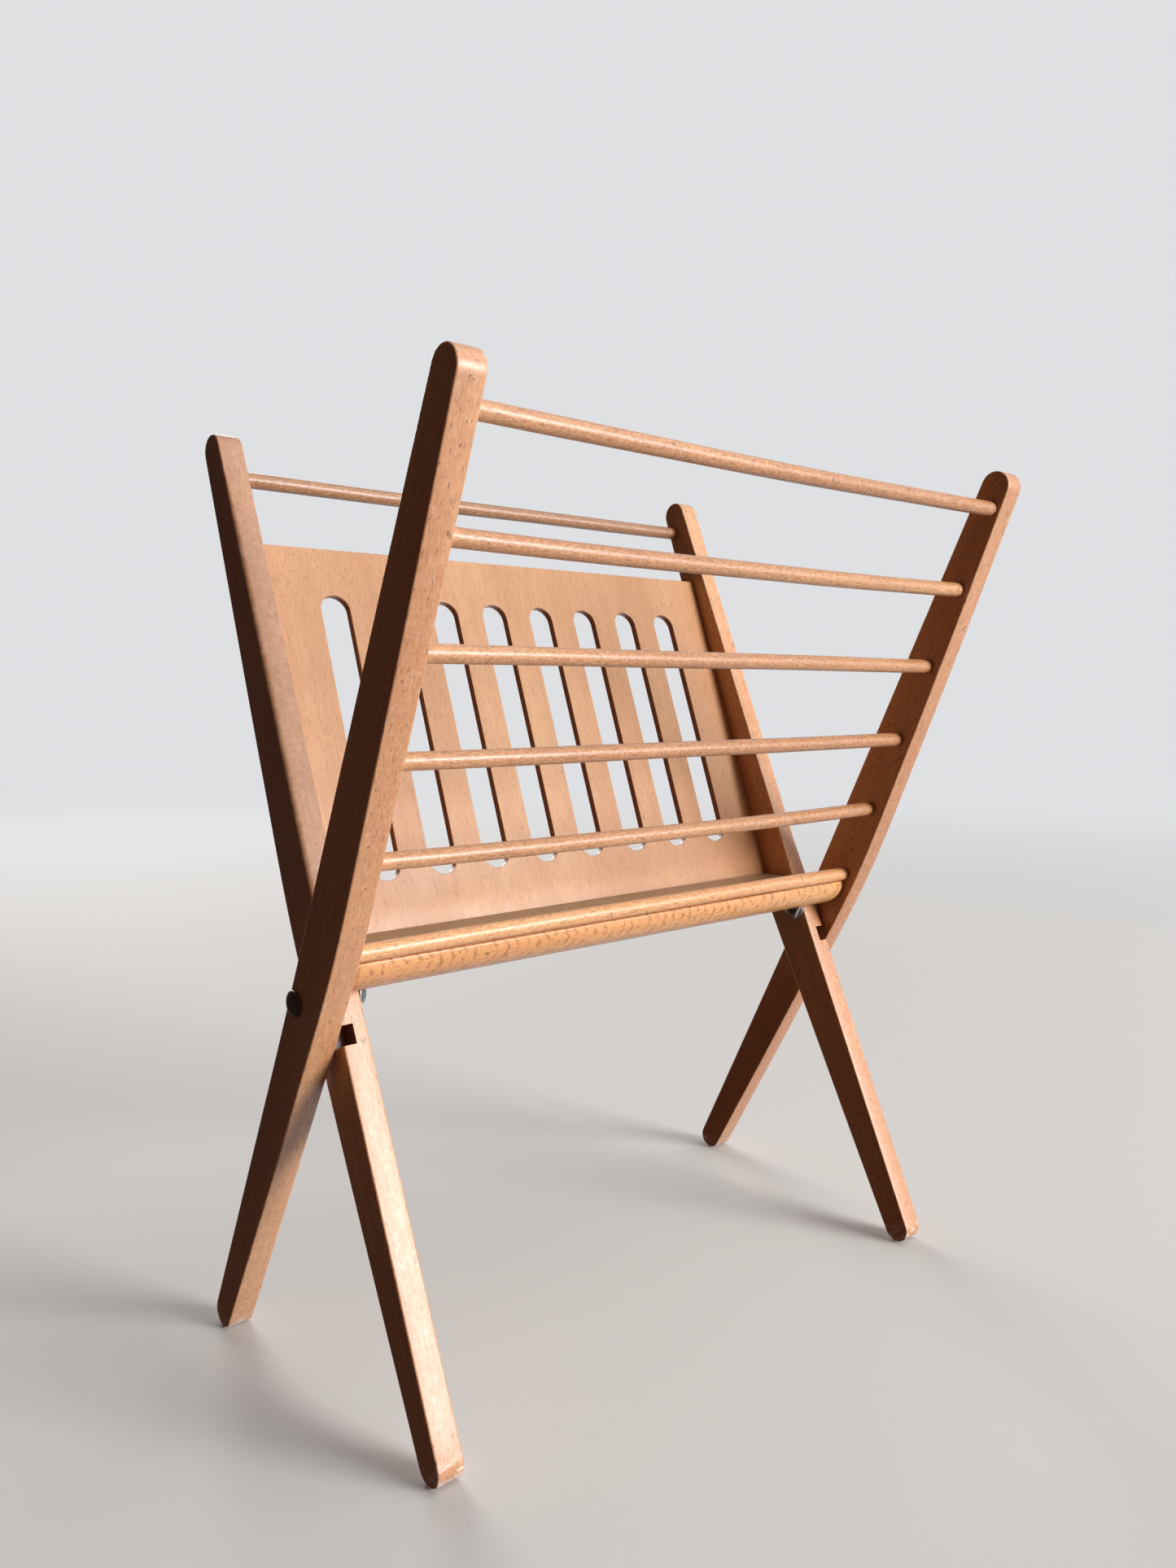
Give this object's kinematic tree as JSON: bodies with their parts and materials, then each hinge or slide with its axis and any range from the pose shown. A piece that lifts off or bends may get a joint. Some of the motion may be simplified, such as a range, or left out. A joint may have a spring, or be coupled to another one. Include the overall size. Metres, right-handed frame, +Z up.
{
  "type": "folding magazine rack",
  "caption": "Folding wooden magazine rack: a rung frame and a slotted-panel frame cross like an X and fold flat about two pivot bolts.",
  "frame": {"origin": "on the floor under the middle of the open rack, at the centre of its bounding box in X and Y", "axes": "+X along the rungs to the right seen from the front, -Y to the front (the rung side), +Z up"},
  "size_m": [0.457, 0.2998, 0.5437],
  "materials": {
    "beech_board": "satin lacquered beech",
    "beech_dowel": "satin lacquered beech dowel",
    "beech_rail": "satin lacquered beech with ray flecks",
    "plywood": "satin lacquered beech-faced plywood",
    "dark_steel": "aged dark steel",
    "zinc_steel": "dull zinc-plated steel"
  },
  "bodies": {
    "inner_frame": {"inner_board_left": "beech_board", "inner_board_right": "beech_board", "top_rung": "beech_dowel", "slotted_panel": "plywood", "floor_rail": "beech_board", "front_rail": "beech_rail", "spacer_washer_left": "zinc_steel", "spacer_washer_right": "zinc_steel", "nut_washer_left": "zinc_steel", "nut_washer_right": "zinc_steel"},
    "outer_frame": {"outer_board_left": "beech_board", "outer_board_right": "beech_board", "rung_1": "beech_dowel", "rung_2": "beech_dowel", "rung_3": "beech_dowel", "rung_4": "beech_dowel", "rung_5": "beech_dowel", "rung_6": "beech_dowel", "pivot_bolt_left": "dark_steel", "pivot_bolt_right": "dark_steel", "square_nut_left": "zinc_steel", "square_nut_right": "zinc_steel"}
  },
  "joints": [
    {"name": "fold", "type": "hinge", "parent": "inner_frame", "child": "outer_frame", "pos_m": [0, -0.00102, 0.22597], "axis": [-1, 0, 0], "range_deg": [0, 47]}
  ]
}
